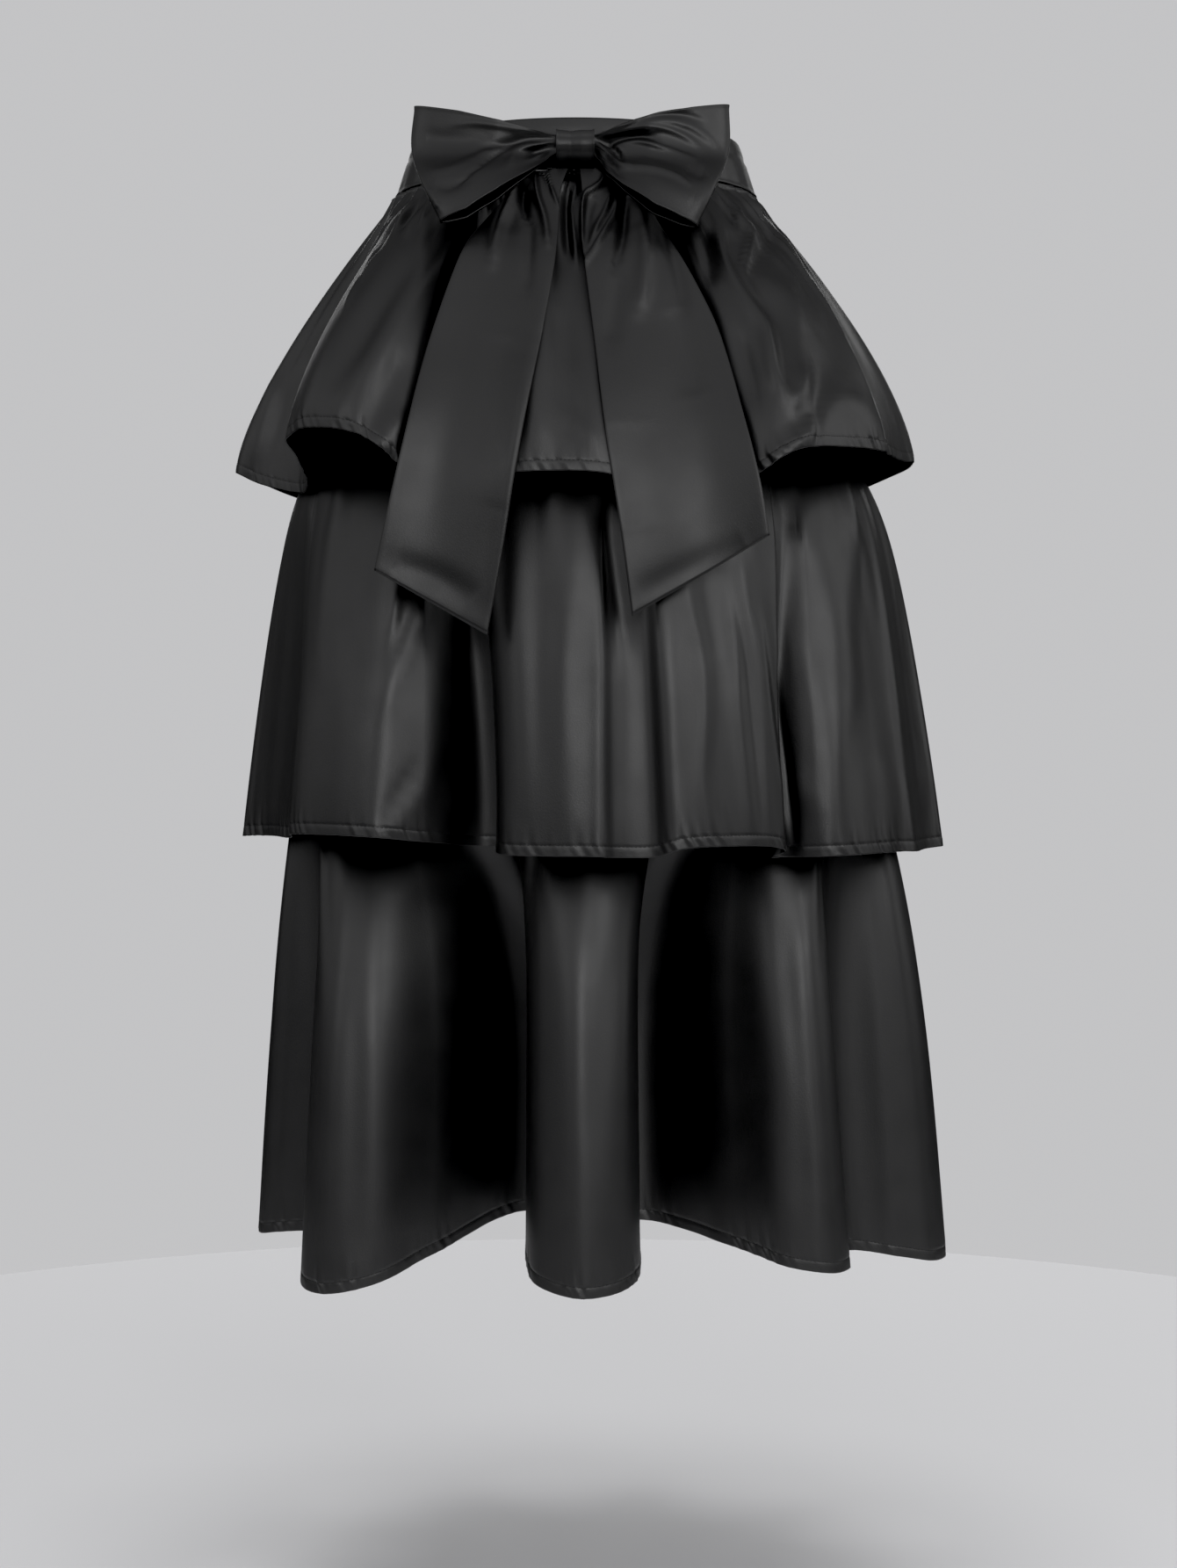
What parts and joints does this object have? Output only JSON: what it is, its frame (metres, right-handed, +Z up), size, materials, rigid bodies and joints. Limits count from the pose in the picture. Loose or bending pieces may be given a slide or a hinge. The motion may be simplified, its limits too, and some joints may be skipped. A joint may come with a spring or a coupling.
{
  "type": "tiered skirt",
  "caption": "Long tiered skirt in black satin with gathered overlapping tiers, a narrow waistband and a tied bow with hanging tails at the front.",
  "frame": {"origin": "middle of the waist, halfway up the waistband", "axes": "+Z up along the worn skirt, -Y towards the front where the bow is, +X to the right of a viewer who stands in front"},
  "size_m": [0.515, 0.4296, 0.7999],
  "materials": {
    "black_satin": "black polyester satin with a soft sheen",
    "black_lining": "dull black lining cloth"
  },
  "bodies": {
    "root": {"waistband_front": "black_satin", "waistband_back": "black_satin", "underskirt_front": "black_lining", "underskirt_back": "black_lining", "tier1_front": "black_satin", "tier1_back": "black_satin", "tier2_front": "black_satin", "tier2_back": "black_satin", "tier3_front": "black_satin", "tier3_back": "black_satin", "bow_knot": "black_satin", "bow_wing_left": "black_satin", "bow_wing_right": "black_satin", "bow_tail_left": "black_satin", "bow_tail_right": "black_satin"}
  },
  "joints": []
}
